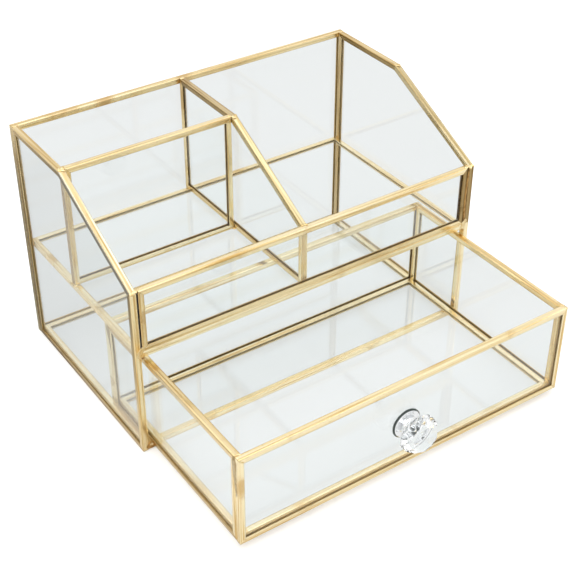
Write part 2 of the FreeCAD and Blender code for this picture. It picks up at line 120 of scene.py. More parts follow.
# Painted shade, near black, in the open slit beside the tray's front
PAINTED_SLIT_SHADE = (0.05, 0.025, 0.01)
SOLDER_PALE = (0.84, 0.69, 0.40)
SOLDER_GOLD = (0.70, 0.50, 0.21)
SOLDER_RUST = (0.52, 0.30, 0.10)
SOLDER_BROWN = (0.24, 0.12, 0.035)
SOLDER_GREY = (0.58, 0.46, 0.27)
SOLDER_DULL = (0.42, 0.29, 0.13)
GLASS_TINT = (0.975, 0.986, 0.984)
GLASS_SHADE = (0.965, 0.975, 0.975)
CRYSTAL_TINT = (0.992, 0.996, 0.996)
CHROME_BRIGHT = (0.92, 0.93, 0.94)
CHROME_DULL = (0.78, 0.79, 0.80)
# Painted shade along the rim of the knob's flange
PAINTED_RIM_SHADE = (0.08, 0.095, 0.09)
ZINC_BRIGHT = (0.66, 0.66, 0.65)
ZINC_DULL = (0.42, 0.42, 0.41)

# Strips painted at another light level than their direction gives, and how the names of those begin whose
# hollows are painted dark brown as shade
SHADED_STRIPS = ("right_side_rear_strip", "back_right_strip", "left_side_bottom_strip",
                "drawer_left_bottom_strip")
HALF_LIT_STRIPS = ("drawer_right_top_strip", "left_side_front_strip", "tray_front_bottom_strip",
               "back_top_strip", "cross_divider_top_strip", "centre_divider_rear_strip")
HOLLOW_SHADED_STRIPS = ("cross_divider", "centre_divider_bottom", "centre_divider_rear", "tray_front", "drawer_back",
                "drawer_right_bottom")

# Noise: how many finer layers it has, and how strong they are
PLAIN = 2.0
DETAILED = 3.0
FINE = 4.0
NOISE_ROUGHNESS = 0.55

# The Mix node's sockets by kind of value: its share, low and high inputs, and its result
MIX_SOCKETS = {"RGBA": ((0, 6, 7), 2), "VECTOR": ((0, 4, 5), 1)}
NONE_TO_ALL = (0.0, 1.0)


def connect(tree, socket, given):
    """Links a socket, or sets its plain value. A colour is given without its alpha."""
    if isinstance(given, bpy.types.NodeSocket):
        tree.links.new(given, socket)
    else:
        socket.default_value = (*given, 1.0) if socket.type == "RGBA" else given


def add(tree, kind, settings=None, **sockets):
    """One shader node. settings are its own properties, and sockets its inputs, as plain values or links."""
    node = tree.nodes.new(f"ShaderNode{kind}")
    for name, setting in (settings or {}).items():
        setattr(node, name, setting)
    for name, given in sockets.items():
        connect(tree, node.inputs[name.replace("_", " ")], given)
    return node


def calculate(tree, operation, *values):
    """The result of a Math node on one to three numbers or links."""
    node = add(tree, "Math", {"operation": operation})
    for socket, given in zip(node.inputs, values):
        connect(tree, socket, given)
    return node.outputs["Value"]


def measure(tree, operation, *vectors):
    """The number that a Vector Math node gives for one or two vectors."""
    node = add(tree, "VectorMath", {"operation": operation})
    for socket, given in zip(node.inputs, vectors):
        connect(tree, socket, given)
    return node.outputs["Value"]


def blend(tree, kind, share, low, high):
    node = add(tree, "Mix", {"data_type": kind})
    inputs, result = MIX_SOCKETS[kind]
    for index, given in zip(inputs, (share, low, high)):
        connect(tree, node.inputs[index], given)
    return node.outputs[result]


def blend_colours(tree, share, low, high):
    """A colour between two, each a plain colour or a link."""
    return blend(tree, "RGBA", share, low, high)


def blend_vectors(tree, share, low, high):
    """A vector between two links."""
    return blend(tree, "VECTOR", share, low, high)


def mix_shaders(tree, share, low, high):
    node = add(tree, "MixShader", None, Fac=share)
    tree.links.new(low, node.inputs[1])
    tree.links.new(high, node.inputs[2])
    return node.outputs["Shader"]


def spread(tree, number, limits, ends=NONE_TO_ALL):
    """Maps the numbers between two limits onto those between two ends, smoothly and no further."""
    return add(tree, "MapRange", {"interpolation_type": "SMOOTHSTEP"}, Value=number, From_Min=limits[0],
               From_Max=limits[1], To_Min=ends[0], To_Max=ends[1]).outputs["Result"]


def noise(tree, coordinates, scale, detail=DETAILED):
    return add(tree, "TexNoise", None, Vector=coordinates, Scale=scale, Detail=detail,
               Roughness=NOISE_ROUGHNESS).outputs["Fac"]


def new_material(name):
    """An empty material with its output node."""
    material = bpy.data.materials.new(name)
    material.use_nodes = True
    tree = material.node_tree
    tree.nodes.clear()
    return material, tree, tree.nodes.new("ShaderNodeOutputMaterial")


def place_of(tree):
    """Coordinates in metres in the model's frame, because every piece sits at the origin."""
    return add(tree, "TexCoord").outputs["Object"]


def coordinate(tree, axis):
    """One of the coordinates in metres: X, Y or Z."""
    return add(tree, "SeparateXYZ", None, Vector=place_of(tree)).outputs[axis]


def drawn_out(tree, axis, length, width, tilt=0.0):
    """Coordinates drawn out along a strip: along X, Y or Z, or along Y tilted upwards to the back."""
    size = [width] * 3
    size["XYZ".index(axis)] = length
    return add(tree, "Mapping", {"vector_type": "TEXTURE"}, Vector=place_of(tree), Rotation=(tilt, 0.0, 0.0),
               Scale=size).outputs["Vector"]


def across_strip(tree, axis):
    """The direction across a strip that runs along the given axis."""
    return add(tree, "Tangent", {"direction_type": "RADIAL", "axis": axis}).outputs["Tangent"]


class Straight:
    """The run of a strip along one axis."""

    def __init__(self, axis):
        self.axis = axis

    def grain(self, tree, length, width):
        return drawn_out(tree, self.axis, length, width)

    def across(self, tree):
        return across_strip(tree, self.axis)

    def tint(self, tree, finish, shade):
        return finish[shade]


class Topped(Straight):
    """The run of an upright strip that is painted at another light level above the tray's floor, there given
    as painted shade.
    """

    def __init__(self, upper_shade):
        super().__init__("Z")
        self.upper_shade = upper_shade

    def tint(self, tree, finish, shade):
        above = calculate(tree, "GREATER_THAN", coordinate(tree, "Z"), FLOOR_TOP)
        return blend_colours(tree, above, finish[shade], self.upper_shade[shade])


class Bent:
    """The run of a strip along Y that turns down a slope towards the front. The slope and the legs are
    painted at light levels of their own: painted highlight or shade on the slope, and painted shade on the
    legs where a darker level is given."""

    UPWARD_FACING = 0.5

    def __init__(self, tilt, slope, leg_light_level):
        self.tilt = tilt
        self.slope = slope
        self.leg_light_level = leg_light_level

    def on_slope(self, tree):
        return calculate(tree, "LESS_THAN", coordinate(tree, "Y"), SLOPE_START)

    def on_leg(self, tree):
        facing = add(tree, "SeparateXYZ", None, Vector=add(tree, "NewGeometry").outputs["Normal"])
        return calculate(tree, "LESS_THAN", facing.outputs["Z"], self.UPWARD_FACING)

    def grain(self, tree, length, width):
        return blend_vectors(tree, self.on_slope(tree), drawn_out(tree, "Y", length, width),
                             drawn_out(tree, "Y", length, width, self.tilt))

    def across(self, tree):
        return across_strip(tree, "Y")

    def tint(self, tree, finish, shade):
        level = blend_colours(tree, self.on_leg(tree), finish[shade], self.leg_light_level[shade])
        return blend_colours(tree, self.on_slope(tree), level, self.slope[shade])


class Ring:
    """The runs of four strips round a flat panel: along Y near its left and right edges, else along X."""

    MIDDLE = 0.5
    SIDE_START = 0.485

    def at_side(self, tree):
        shares = add(tree, "SeparateXYZ", None, Vector=add(tree, "TexCoord").outputs["Generated"])
        from_middle = calculate(tree, "SUBTRACT", shares.outputs["X"], self.MIDDLE)
        return calculate(tree, "GREATER_THAN", calculate(tree, "ABSOLUTE", from_middle), self.SIDE_START)

    def grain(self, tree, length, width):
        return blend_vectors(tree, self.at_side(tree), drawn_out(tree, "X", length, width),
                             drawn_out(tree, "Y", length, width))

    def across(self, tree):
        return blend_vectors(tree, self.at_side(tree), across_strip(tree, "X"), across_strip(tree, "Y"))

    def tint(self, tree, finish, shade):
        return finish[shade]


# Marks on brass: their length along a strip and width across it, or their scale
STREAK_SIZE = (0.050, 0.0005)
# The long bands are painted highlights along the strips
HIGHLIGHT_BAND_SIZE = (0.110, 0.0016)
CLOUD_SIZE = (0.040, 0.012)
SPECK_SCALE = 620.0
HEAT_SCALE = 30.0

# Where the marks on brass begin and are full, and how far they go
STREAK_LIMITS = (0.30, 0.70)
STREAK_WEIGHT = 0.25
# Where the bands of painted highlight begin and are full, and how much they weigh
HIGHLIGHT_BAND_LIMITS = (0.34, 0.64)
HIGHLIGHT_BAND_WEIGHT = 0.75
DULL_OFF_HIGHLIGHTS = (0.52, 0.34)
DULL_CLOUDS = (0.62, 0.34)
DULL_SHARES = (0.25, 0.95)
HEAT_LIMITS = (0.57, 0.72)
HEAT_SHARES = (0.0, 0.7)
SPECK_LIMITS = (0.62, 0.78)
SPECK_SHARES = (0.0, 0.5)
SPECK_CLOUDS = (0.60, 0.35)
SPECK_CLOUD_SHARES = (0.1, 0.9)
STAIN_AND_SHADE_CLOUDS = (0.25, 0.75)
STAIN_AND_SHADE_FADE = 0.6

# Edges and hollows of brass, with stain and painted shade at the edges: radii and reach in metres, how open a
# spot is, and what becomes of it
LOOK_SAMPLES = 4
STAIN_AND_SHADE_RADIUS = 0.0005
EDGE_RADIUS = 0.0009
EDGE_FACING = (0.80, 0.985)
EDGE_SHARES = (1.0, 0.0)
HOLLOW_REACH = 0.003
HOLLOW_LIMITS = (0.50, 0.15)
HOLLOW_COLOUR_SHARES = (0.0, 0.8)
HOLLOW_METAL_SHARES = (1.0, 0.5)

# Gloss of brass
GLOSS_STREAKS = (0.25, 0.75)
STREAK_ROUGHNESS = (0.24, 0.16)
DULL_ROUGHNESS = 0.2
BRUSHED = 0.5
HOLLOW_SHEEN = 0.1
RIPPLE_STRENGTH = 0.10
RIPPLE_HEIGHT = 0.0003


def rounded_normal(tree, radius):
    return add(tree, "Bevel", {"samples": LOOK_SAMPLES}, Radius=radius).outputs["Normal"]


def edge_share(tree, radius):
    """1 at sharp edges, 0 away from them."""
    flat_normal = add(tree, "NewGeometry").outputs["Normal"]
    facing = measure(tree, "DOT_PRODUCT", rounded_normal(tree, radius), flat_normal)
    return spread(tree, facing, EDGE_FACING, EDGE_SHARES)


def slit_share(tree):
    """1 on the faces of the slit between the tray's front and the left side, 0 elsewhere."""
    beside = calculate(tree, "COMPARE", coordinate(tree, "X"), -SLIT_MIDDLE, SLIT_HALF)
    in_front = calculate(tree, "LESS_THAN", coordinate(tree, "Y"), CAME)
    below_lip = calculate(tree, "COMPARE", coordinate(tree, "Z"), (FLOOR_TOP + LIP) / 2,
                          (LIP - FLOOR_TOP) / 2)
    return calculate(tree, "MULTIPLY", calculate(tree, "MULTIPLY", beside, in_front), below_lip)


def drawn_noise(tree, run, size, detail=DETAILED):
    """Noise drawn out along a strip, with marks of the given length and width."""
    return noise(tree, run.grain(tree, *size), 1.0, detail)


def dulled_share(tree, highlight_bands, clouds):
    """How dull brass is: where it is clouded away from the painted highlight bands, and in patches browned by
    the soldering heat.
    """
    clouded = calculate(tree, "MULTIPLY", spread(tree, highlight_bands, DULL_OFF_HIGHLIGHTS),
                        spread(tree, clouds, DULL_CLOUDS, DULL_SHARES))
    heated = spread(tree, noise(tree, place_of(tree), HEAT_SCALE), HEAT_LIMITS, HEAT_SHARES)
    return calculate(tree, "MAXIMUM", clouded, heated)


def brushed_colour(tree, run, finish, streaks, highlight_bands, dulled):
    """Pale and gold brushed streaks with long bands of painted highlight, at the strip's painted light level,
    and deep where the brass is dulled.
    """
    tone = calculate(tree, "ADD",
                     calculate(tree, "MULTIPLY", spread(tree, streaks, STREAK_LIMITS), STREAK_WEIGHT),
                     calculate(tree, "MULTIPLY", spread(tree, highlight_bands, HIGHLIGHT_BAND_LIMITS), HIGHLIGHT_BAND_WEIGHT))
    colour = blend_colours(tree, tone, run.tint(tree, finish, "gold"), run.tint(tree, finish, "pale"))
    return blend_colours(tree, dulled, colour, run.tint(tree, finish, "deep"))


def stained_and_shaded_colour(tree, colour, clouds, stain_and_shade):
    """Adds specks of tarnish, and dark marks along the edges that are partly stain and partly painted shade.
    """
    specks = noise(tree, place_of(tree), SPECK_SCALE, PLAIN)
    speckled = calculate(tree, "MULTIPLY", spread(tree, specks, SPECK_LIMITS, SPECK_SHARES),
                         spread(tree, clouds, SPECK_CLOUDS, SPECK_CLOUD_SHARES))
    colour = blend_colours(tree, speckled, colour, TARNISH_AND_EDGE_SHADE)
    # Dark marks along the edges, partly stain and partly painted shade
    stained_and_shaded = calculate(tree, "MULTIPLY", edge_share(tree, STAIN_AND_SHADE_RADIUS),
                        spread(tree, clouds, STAIN_AND_SHADE_CLOUDS, (stain_and_shade, stain_and_shade * STAIN_AND_SHADE_FADE)))
    return blend_colours(tree, stained_and_shaded, colour, TARNISH_AND_EDGE_SHADE)


def brass(name, run, finish, hollow=PATINA):
    """Brushed brass strip with tarnish, painted highlight bands and painted shade along its edges, hollows of
    another colour, painted dark in some strips, and painted shade near black in the open slit beside the
    tray's front."""
    material, tree, output = new_material(name)
    streaks = drawn_noise(tree, run, STREAK_SIZE)
    highlight_bands = drawn_noise(tree, run, HIGHLIGHT_BAND_SIZE, PLAIN)
    clouds = drawn_noise(tree, run, CLOUD_SIZE)
    dulled = dulled_share(tree, highlight_bands, clouds)
    slit = slit_share(tree)
    openness = add(tree, "AmbientOcclusion", {"samples": LOOK_SAMPLES}, Distance=HOLLOW_REACH).outputs["AO"]
    colour = brushed_colour(tree, run, finish, streaks, highlight_bands, dulled)
    colour = stained_and_shaded_colour(tree, colour, clouds, finish["stain_and_shade"])
    colour = blend_colours(tree, spread(tree, openness, HOLLOW_LIMITS, HOLLOW_COLOUR_SHARES), colour, hollow)
    # Painted shade, near black, in the open slit
    colour = blend_colours(tree, slit, colour, PAINTED_SLIT_SHADE)
    metal = calculate(tree, "MINIMUM", spread(tree, openness, HOLLOW_LIMITS, HOLLOW_METAL_SHARES),
                      calculate(tree, "SUBTRACT", 1.0, slit))
    roughness = calculate(tree, "ADD", spread(tree, streaks, GLOSS_STREAKS, STREAK_ROUGHNESS),
                          calculate(tree, "MULTIPLY", dulled, DULL_ROUGHNESS))
    ripple = add(tree, "Bump", None, Strength=RIPPLE_STRENGTH, Distance=RIPPLE_HEIGHT, Height=clouds,
                 Normal=rounded_normal(tree, EDGE_RADIUS))
    shader = add(tree, "BsdfPrincipled", None, Base_Color=colour, Roughness=roughness, Metallic=metal,
                 Specular_IOR_Level=HOLLOW_SHEEN, Anisotropic=BRUSHED, Tangent=run.across(tree),
                 Normal=ripple.outputs["Normal"])
    tree.links.new(shader.outputs["BSDF"], output.inputs["Surface"])
    return material


# Solder: the scales of its lumps and grains, where they begin and are full, and its gloss
LUMP_SCALE = 420.0
LUMP_LIMITS = (0.32, 0.62)
LUMP_STRENGTH = 0.35
LUMP_HEIGHT = 0.0003
GRAIN_SCALE = 1500.0
GRAIN_LIMITS = (0.62, 0.75)
GRAIN_SHARES = (0.0, 0.5)
GLOSS_GRAINS = (0.3, 0.7)
SOLDER_ROUGHNESS = (0.24, 0.42)


def solder_metal(name, light, dark):
    """Solder that has run between strips and taken on their colour: lumpy, dull, brown in its hollows."""
    material, tree, output = new_material(name)
    place = place_of(tree)
    lumps = noise(tree, place, LUMP_SCALE)
    grains = noise(tree, place, GRAIN_SCALE, PLAIN)
    colour = blend_colours(tree, spread(tree, lumps, LUMP_LIMITS), dark, light)
    colour = blend_colours(tree, spread(tree, grains, GRAIN_LIMITS, GRAIN_SHARES), colour, TARNISH_AND_EDGE_SHADE)
    roughness = spread(tree, grains, GLOSS_GRAINS, SOLDER_ROUGHNESS)
    ripple = add(tree, "Bump", None, Strength=LUMP_STRENGTH, Distance=LUMP_HEIGHT, Height=lumps)
    shader = add(tree, "BsdfPrincipled", None, Base_Color=colour, Roughness=roughness, Metallic=1.0,
                 Normal=ripple.outputs["Normal"])
    tree.links.new(shader.outputs["BSDF"], output.inputs["Surface"])
    return material


# Glass and crystal: how far they bend light, and the scale and roughness of their smears
GLASS_BEND = 1.42
GLASS_SMEARS = 30.0
GLASS_ROUGHEST = 0.02
CRYSTAL_BEND = 1.54
CRYSTAL_SMEARS = 300.0
CRYSTAL_ROUGHEST = 0.015
SMEAR_LIMITS = (0.45, 0.80)


def clear_surface(tree, tint, bend, smear_scale, roughest):
    """Glass that bends and mirrors light, with faint smears, and lets the lamps shine through it."""
    smears = noise(tree, place_of(tree), smear_scale, FINE)
    roughness = spread(tree, smears, SMEAR_LIMITS, (0.0, roughest))
    glass = add(tree, "BsdfPrincipled", None, Base_Color=tint, Roughness=roughness, IOR=bend,
                Transmission_Weight=1.0)
    film = add(tree, "BsdfTransparent", None, Color=GLASS_SHADE)
    return mix_shaders(tree, add(tree, "LightPath").outputs["Is Shadow Ray"], glass.outputs["BSDF"],
                       film.outputs["BSDF"])


def from_knob_axis(tree):
    """The distance in metres from the axis of the knob."""
    sideways = calculate(tree, "SUBTRACT", coordinate(tree, "X"), KNOB_MIDDLE.x)
    upwards = calculate(tree, "SUBTRACT", coordinate(tree, "Z"), KNOB_MIDDLE.z)
    square = calculate(tree, "ADD", calculate(tree, "MULTIPLY", sideways, sideways),
                       calculate(tree, "MULTIPLY", upwards, upwards))
    return calculate(tree, "SQRT", square)


def under_knob(tree):
    """1 where the knob's flange lies against the glass, 0 elsewhere."""
    return calculate(tree, "MULTIPLY",
                     calculate(tree, "COMPARE", coordinate(tree, "Y"), FLANGE_CONTACT, CONTACT_REACH),
                     calculate(tree, "LESS_THAN", from_knob_axis(tree), KNOB_RADIUS))


def window_glass():
    """Clear glass that bends no light where the knob's flange lies on it, so the hollow flange shows."""
    material, tree, output = new_material("clear_glass")
    surface = clear_surface(tree, GLASS_TINT, GLASS_BEND, GLASS_SMEARS, GLASS_ROUGHEST)
    touched = add(tree, "BsdfTransparent", None, Color=GLASS_TINT)
    surface = mix_shaders(tree, under_knob(tree), surface, touched.outputs["BSDF"])
    tree.links.new(surface, output.inputs["Surface"])
    return material


def cut_crystal():
    """Clear crystal whose foot is cemented into the knob's cup, so nothing bends light between the two."""
    material, tree, output = new_material("cut_crystal")
    surface = clear_surface(tree, CRYSTAL_TINT, CRYSTAL_BEND, CRYSTAL_SMEARS, CRYSTAL_ROUGHEST)
    cement = add(tree, "BsdfTransparent", None, Color=CRYSTAL_TINT)
    foot = calculate(tree, "GREATER_THAN", coordinate(tree, "Y"), CRYSTAL_FOOT)
    tree.links.new(mix_shaders(tree, foot, surface, cement.outputs["BSDF"]), output.inputs["Surface"])
    return material


# Plated metal: scales of its clouding, how much finer its scratches are, its bumps and its gloss
CHROME_SCALE = 160.0
CHROME_ROUGHNESS = (0.06, 0.14)
CHROME_BUMP = 0.05
ZINC_SCALE = 320.0
ZINC_ROUGHNESS = (0.28, 0.42)
ZINC_BUMP = 0.08
SCRATCH_FINENESS = 9
SCRATCH_DEPTH = 0.0001
PLATE_CLOUDS = (0.35, 0.75)
PLATE_SCRATCHES = (0.3, 0.8)


def plated(tree, colours, scale, gloss, bump, rim=None):
    """Plated metal with faint clouding and fine scratches, and painted shade on a rim where a share of one is
    given.
    """
    place = place_of(tree)
    clouds = noise(tree, place, scale, FINE)
    scratches = noise(tree, place, scale * SCRATCH_FINENESS, PLAIN)
    colour = blend_colours(tree, spread(tree, clouds, PLATE_CLOUDS), *colours)
    if rim is not None:
        colour = blend_colours(tree, rim, colour, PAINTED_RIM_SHADE)
    ripple = add(tree, "Bump", None, Strength=bump, Distance=SCRATCH_DEPTH, Height=scratches)
    roughness = spread(tree, scratches, PLATE_SCRATCHES, gloss)
    return add(tree, "BsdfPrincipled", None, Base_Color=colour, Roughness=roughness, Metallic=1.0,
               Normal=ripple.outputs["Normal"]).outputs["BSDF"]


def screw_zinc():
    """Zinc on the screw and its washer."""
    material, tree, output = new_material("screw_zinc")
    surface = plated(tree, (ZINC_BRIGHT, ZINC_DULL), ZINC_SCALE, ZINC_ROUGHNESS, ZINC_BUMP)
    tree.links.new(surface, output.inputs["Surface"])
    return material


def knob_chrome():
    """Bright chrome, with painted dark shade on the rim of the knob's flange, which is open to the glass."""
    material, tree, output = new_material("knob_chrome")
    inside = KNOB_RADIUS - RIM_WIDTH
    # Painted shade along the rim of the flange
    rim = spread(tree, from_knob_axis(tree), (inside, inside + RIM_FADE))
    surface = plated(tree, (CHROME_BRIGHT, CHROME_DULL), CHROME_SCALE, CHROME_ROUGHNESS, CHROME_BUMP, rim)
    mouth = add(tree, "BsdfTransparent", None, Color=GLASS_TINT)
    surface = mix_shaders(tree, under_knob(tree), surface, mouth.outputs["BSDF"])
    tree.links.new(surface, output.inputs["Surface"])
    return material


def longest_axis(node):
    sides = highest(node) - lowest(node)
    return "XYZ"[max(range(3), key=lambda index: sides[index])]


def painted_light_of(name, axis):
    """Which painted light level a straight strip has. Most strips along Y are painted half shaded, and most
    others are painted the most lit.
    """
    # One strip is painted in deep shade
    if name == "tray_front_right_strip":
        return "dark"
    if name in SHADED_STRIPS:
        return "shaded"
    if name in HALF_LIT_STRIPS:
        return "half_lit"
    # Strips inside, seen through the glass, are painted lighter as a lift
    if name.startswith("drawer_back") or name == "cross_divider_bottom_strip":
        return "inner"
    return "half_shaded" if axis == "Y" or name.startswith(("left_side", "tray_front_left")) else "bright"


def straight_brass(name, made):
    """The material of a straight strip: one made already, where painted light level, direction and hollows
    agree.
    """
    axis = longest_axis(name)
    finish = painted_light_of(name, axis)
    # Some strips have their hollows painted dark as shade
    hollow_shaded = name.startswith(HOLLOW_SHADED_STRIPS)
    key = f"brass_{finish}_{axis.lower()}" + ("_burnt" if hollow_shaded else "")
    if key not in made:
        made[key] = brass(key, Straight(axis), PAINTED_LIGHT_LEVELS[finish], PAINTED_HOLLOW_SHADE if hollow_shaded else PATINA)
    return made[key]


def dress_nodes():
    """Gives every node of the model its material."""
    special = {
        "left_side_top_strip": brass("brass_left_top", Bent(SIDE_TILT, LEFT_SLOPE_LIGHTING, HALF_SHADED_BRASS), HALF_SHADED_BRASS),
        "right_side_top_strip": brass("brass_right_top", Bent(SIDE_TILT, RIGHT_SLOPE_LIGHTING, DEEPLY_SHADED_BRASS), HALF_SHADED_BRASS),
        "right_side_front_strip": brass("brass_right_front", Topped(DEEPLY_SHADED_BRASS), MOST_LIT_BRASS),
        "centre_divider_top_strip": brass("brass_divider_top", Bent(DIVIDER_TILT, MIDDLE_SLOPE_LIGHTING, DEEPLY_SHADED_BRASS),
                                          SHADED_BRASS),
        "centre_divider_front_strip": brass("brass_divider_front", Straight("Z"), MOST_LIT_BRASS, PALE_PATINA),
        "knob_crystal": cut_crystal(),
        "knob_base": knob_chrome(),
        "knob_screw": screw_zinc(),
    }
    special["knob_washer"] = special["knob_screw"]
    glass = window_glass()
    ring = brass("brass_round_panel", Ring(), LIFTED_INNER_BRASS, PALE_PATINA)
    straight = {}
    for name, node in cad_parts.items():
        if name in special:
            material = special[name]
        elif name.endswith("_glass"):
            material = glass
        elif name.endswith("_strips"):
            material = ring
        else:
            material = straight_brass(name, straight)
        node.data.materials.clear()
        node.data.materials.append(material)


class Solder:
    """Beads of solder gathered into one mesh of closed tubes that rides on a body."""

    SIDES = 10
    RINGS = 9
    BLUNTNESS = 4
    END_SWELL = 0.02
    # Lumps: how high, how many radians along the bead, and how far a seed shifts them
    LUMPS = ((0.16, 9, 1.7), (0.10, 17, 2.9))
    # Sway from side to side: its share of the width, and the same two numbers
    SWAY = (0.25, 5, 3.1)
    MITRE_INSET = 0.0003
    MITRE_SIZE = (0.0010, 0.00016)
    MITRE_SEEDS = 7

    def __init__(self):
        self.points = []
        self.faces = []

    def bead(self, start, end, outward, size, seed, taper=0.0):
        """A low lumpy bead from start to end, half sunk in the metal below it, and narrower at its end by
        the taper. size is its width and height, and the seed gives it lumps of its own."""
        start, end, outward = Vector(start), Vector(end), Vector(outward).normalized()
        width, height = size
        side = (end - start).normalized().cross(outward)
        sway, sway_turn, sway_shift = self.SWAY
        first = len(self.points)
        for ring in range(self.RINGS):
            share = ring / (self.RINGS - 1)
            swell = math.sqrt(max(1 - (2 * share - 1) ** self.BLUNTNESS, self.END_SWELL))
            swell *= 1 + sum(lump * math.sin(turn * share + shift * seed)
                             for lump, turn, shift in self.LUMPS)
            swell *= 1 - taper * share
            drift = sway * width * (1 - taper) * math.sin(sway_turn * share + sway_shift * seed)
            self.add_ring(start.lerp(end, share) + side * drift, side * (width / 2 * swell),
                          outward * (height * swell))
        self.add_faces(first)

    def add_ring(self, centre, sideways, outward):
        """The points round a bead at one place, where it thins out to both sides."""
        for step in range(self.SIDES):
            turn = 2 * math.pi * step / self.SIDES
            rise = math.sin(turn) * abs(math.sin(turn))
            self.points.append(centre + sideways * math.cos(turn) + outward * rise)

    def add_faces(self, first):
        """Joins the rings from a first point on, and closes both ends."""
        for ring in range(self.RINGS - 1):
            low = first + ring * self.SIDES
            high = low + self.SIDES
            for step in range(self.SIDES):
                following = (step + 1) % self.SIDES
                self.faces.append((low + step, low + following, high + following, high + step))
        last = first + (self.RINGS - 1) * self.SIDES
        self.faces.append(tuple(first + step for step in reversed(range(self.SIDES))))
        self.faces.append(tuple(last + step for step in range(self.SIDES)))

    def corner_beads(self, low, high, outward):
        """Thin beads along the four mitres of an upright panel's face, which spans X and Z."""
        low, high = Vector(low), Vector(high)
        for side in (0, 1):
            for level in (0, 1):
                corner = Vector(((low.x, high.x)[side], low.y, (low.z, high.z)[level]))
                inward = RIGHTWARDS * (1 - 2 * side) + UPWARDS * (1 - 2 * level)
                self.bead(corner + inward * self.MITRE_INSET, corner + inward * LEG, outward,
                          self.MITRE_SIZE, seed=len(self.points) % self.MITRE_SEEDS)

    def finish(self, name, body, material):
        mesh = bpy.data.meshes.new(name)
        mesh.from_pydata([tuple(point) for point in self.points], [], self.faces)
        mesh.polygons.foreach_set("use_smooth", [True] * len(mesh.polygons))
        mesh.materials.append(material)
        mesh.update()
        piece = bpy.data.objects.new(name, mesh)
        bpy.context.collection.objects.link(piece)
        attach(piece, body)


# Beads on the case: width and height
RAIL_BEAD = (0.0040, 0.00022)
LIP_BEAD = (0.0038, 0.0006)
BEND_BEAD = (0.0030, 0.00015)
NOSE_BEAD = (0.0024, 0.0003)
SEAM_BEAD = (0.0008, 0.0002)
REAR_BEAD = (0.0016, 0.0003)
FOOT_BEAD = (0.0024, 0.0007)
FOOT_RUN_BEAD = (0.0024, 0.0009)
DROP_BEAD = (0.0018, 0.0007)
SLIT_BEAD = (0.0018, 0.0003)
DIVIDER_LIP_BEAD = (0.0030, 0.0006)
DIVIDER_REAR_BEAD = (0.0026, 0.0004)
CROSS_TOP_BEAD = (0.0024, 0.0004)
CROSS_FOOT_BEAD = (0.0036, 0.0008)

# Directions in which beads on the case's edges face
BEND_FACING = (0, -0.23, 0.97)
NOSE_FACING = (0, -0.6, 0.8)
DIVIDER_LIP_FACING = (0, 0.2, 1)

# Ends of the beads on the case, from the corner or edge that each lies at
RAIL_BELOW = 0.0048
RAIL_ABOVE = 0.0036
LIP_FROM_SIDE = 0.0012
LIP_REACH = 0.0032
NOSE_DEPTH = 0.0003
SEAM_LOW = 0.004
SEAM_GAP = 0.002
FOOT_LOW = 0.0006
FOOT_HIGH = 0.0062
FOOT_RUN_START = 0.0002
FOOT_RUN_END = 0.0050
FOOT_RUN_LOW = 0.0019
FOOT_RUN_HIGH = 0.0021
DROP_START = 0.0052
DROP_END = 0.0042
DROP_REACH = 0.0016
SLIT_GAP = 0.001
CROSS_OVERLAP = 0.001


def solder_side(gold, brown, side):
    """Solder along one side of the case, -1 for the left and 1 for the right: at the floor rail, on the lip,
    over the bend, on the lip's front edge, down the rear seam and across its top, and then brown at the foot
    and below the rail."""
    outer = side * CASE_HALF
    inner = side * (CASE_HALF - CAME)
    gold.bead((inner, 0, FLOOR_TOP - RAIL_BELOW), (inner, 0, FLOOR_TOP + RAIL_ABOVE), FORWARDS,
              RAIL_BEAD, seed=1)
    gold.bead((outer - side * LIP_FROM_SIDE, HALF_CAME, LIP), (inner - side * LIP_REACH, HALF_CAME, LIP),
              UPWARDS, LIP_BEAD, seed=2)
    gold.bead((outer, SLOPE_START, TOP), (inner, SLOPE_START, TOP), BEND_FACING, BEND_BEAD, seed=3)
    gold.bead((outer, NOSE_DEPTH, LIP), (inner, NOSE_DEPTH, LIP), NOSE_FACING, NOSE_BEAD, seed=4)
    gold.bead((outer, REAR_SEAM, SEAM_LOW), (outer, REAR_SEAM, TOP - SEAM_GAP), side * RIGHTWARDS,
              SEAM_BEAD, seed=5)
    gold.bead((outer, REAR_SEAM, TOP), (inner, REAR_SEAM, TOP), UPWARDS, REAR_BEAD, seed=6)
    brown.bead((inner, 0, FOOT_LOW), (inner, 0, FOOT_HIGH), FORWARDS, FOOT_BEAD, seed=7)
    brown.bead((inner - side * FOOT_RUN_START, 0, FOOT_RUN_LOW),
               (inner - side * FOOT_RUN_END, 0, FOOT_RUN_HIGH), FORWARDS, FOOT_RUN_BEAD, seed=8)
    brown.bead((inner, 0, FLOOR_TOP - DROP_START), (inner - side * DROP_REACH, 0, FLOOR_TOP - DROP_END),
               FORWARDS, DROP_BEAD, seed=9)


def solder_dividers(gold):
    """Solder on the centre divider, over its bend, at the lip and at the back, and on the cross divider's
    ends."""
    left, right = DIVIDER - HALF_CAME, DIVIDER + HALF_CAME
    gold.bead((left, SLOPE_START, TOP), (right, SLOPE_START, TOP), BEND_FACING, BEND_BEAD, seed=10)
    gold.bead((left, CAME, LIP), (right, CAME, LIP), DIVIDER_LIP_FACING, DIVIDER_LIP_BEAD, seed=11)
    gold.bead((left, REAR_SEAM, TOP), (right, REAR_SEAM, TOP), UPWARDS, DIVIDER_REAR_BEAD, seed=12)
    front, back = SLOPE_START, SLOPE_START + CAME
    for place in (-CASE_HALF + CAME, left):
        gold.bead((place, front, TOP), (place, back, TOP), UPWARDS, CROSS_TOP_BEAD, seed=13)
        gold.bead((place, front - CROSS_OVERLAP, FLOOR_TOP), (place, back + CROSS_OVERLAP, FLOOR_TOP),
                  UPWARDS, CROSS_FOOT_BEAD, seed=14)


